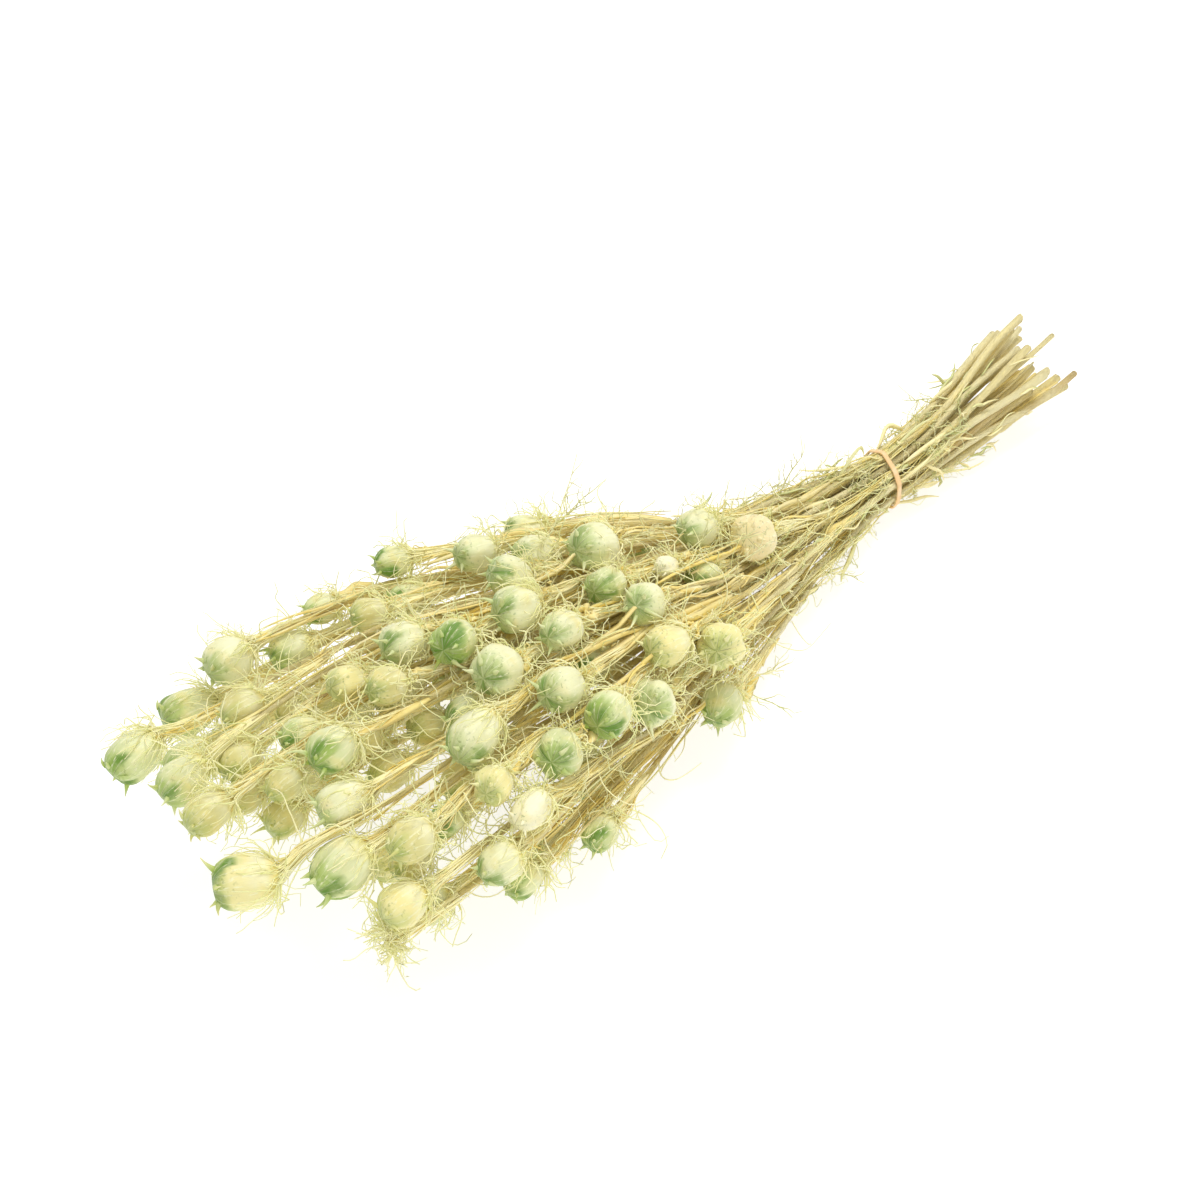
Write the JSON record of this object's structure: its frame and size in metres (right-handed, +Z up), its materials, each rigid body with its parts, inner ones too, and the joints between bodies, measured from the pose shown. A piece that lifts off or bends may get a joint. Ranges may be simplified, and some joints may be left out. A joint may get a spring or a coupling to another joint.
{
  "type": "nigella seed pod",
  "caption": "Tied bunch of dried love-in-a-mist stems with ribbed, horned seed capsules, lying on its side.",
  "frame": {"origin": "middle of the bunch's box on the surface that it lies on", "axes": "+X along the bunch from its cut ends to its seed pods, +Z up, +Y to the side that the picture shows"},
  "size_m": [0.4994, 0.1506, 0.0843],
  "materials": {
    "dried_straw": "matt dried plant fibre",
    "dried_cream": "matt papery plant fibre",
    "dried_green": "matt papery plant fibre",
    "rubber_band": "matt rubber"
  },
  "bodies": {
    "root": {"elastic_band": "rubber_band", "stem_01": "dried_cream", "stem_02": "dried_green", "stem_03": "dried_straw", "stem_04": "dried_cream", "stem_05": "dried_green", "stem_06": "dried_straw", "stem_07": "dried_cream", "stem_08": "dried_green", "stem_09": "dried_straw", "stem_10": "dried_cream", "stem_11": "dried_green", "stem_12": "dried_straw", "stem_13": "dried_cream", "stem_14": "dried_green", "stem_15": "dried_straw", "stem_16": "dried_cream", "stem_17": "dried_green", "stem_18": "dried_straw", "stem_19": "dried_cream", "stem_20": "dried_green", "stem_21": "dried_straw", "stem_22": "dried_cream", "stem_23": "dried_green", "stem_24": "dried_straw", "stem_25": "dried_cream", "stem_26": "dried_green", "stem_27": "dried_straw", "stem_28": "dried_cream"}
  },
  "joints": []
}
